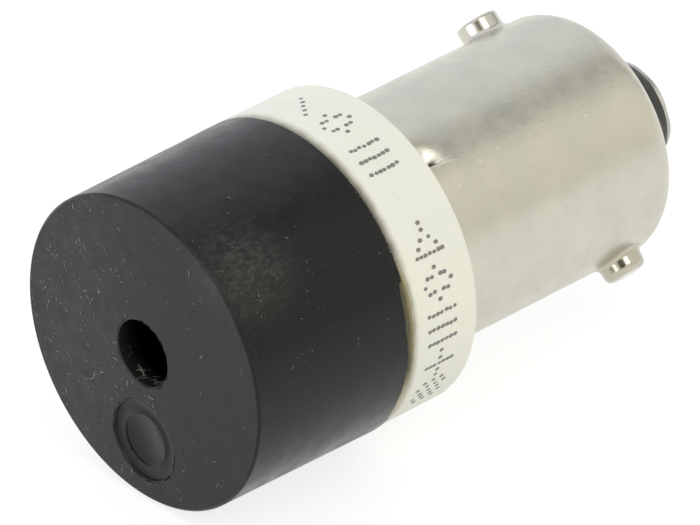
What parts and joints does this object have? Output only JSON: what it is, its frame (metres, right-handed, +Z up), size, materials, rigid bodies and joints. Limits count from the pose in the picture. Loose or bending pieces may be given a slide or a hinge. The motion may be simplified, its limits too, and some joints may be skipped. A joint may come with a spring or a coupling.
{
  "type": "panel mount buzzer",
  "caption": "Small black round buzzer head with a sound hole, on a white collar and a nickel miniature bayonet cap with side studs, for a panel lamp holder.",
  "frame": {"origin": "on the axis, in the plane of the collar's rear face, which meets the holder", "axes": "-Y towards the sounding face, +Y towards the centre contact, +Z up, as fixed in an upright panel"},
  "size_m": [0.0119, 0.0239, 0.0119],
  "materials": {
    "black_case": "moulded, matte, dusty",
    "white_collar": "moulded, satin",
    "adhesive": "cured resin",
    "nickel_shell": "satin nickel plate",
    "nickel_stud": "polished nickel plate",
    "black_glass": "cast black glass",
    "tinned_contact": "tinned",
    "solder": "solder",
    "blackened_steel": "black oxide",
    "soft_iron": "zinc plated",
    "ferrite": "sintered",
    "copper_wire": "enamelled",
    "board": "solder mask",
    "component_body": "moulded",
    "potting": "cast resin",
    "resistor_body": "lacquered",
    "tinned_wire": "tinned"
  },
  "bodies": {
    "root": {"buzzer_case": "black_case", "diaphragm": "blackened_steel", "armature_disc": "blackened_steel", "support_ring": "black_case", "ring_magnet": "ferrite", "coil_winding": "copper_wire", "pole_core": "soft_iron", "yoke_plate": "soft_iron", "driver_board": "board", "transistor": "component_body", "terminal_pins": "tinned_wire", "base_seal": "potting", "adhesive_bead": "adhesive", "collar": "white_collar", "rectifier_board": "board", "rectifier": "component_body", "series_resistor": "resistor_body", "contact_lead": "tinned_wire", "shell_lead": "tinned_wire", "cap_shell": "nickel_shell", "bayonet_stud_a": "nickel_stud", "bayonet_stud_b": "nickel_stud", "insulator": "black_glass", "centre_contact": "tinned_contact", "contact_solder": "solder"}
  },
  "joints": []
}
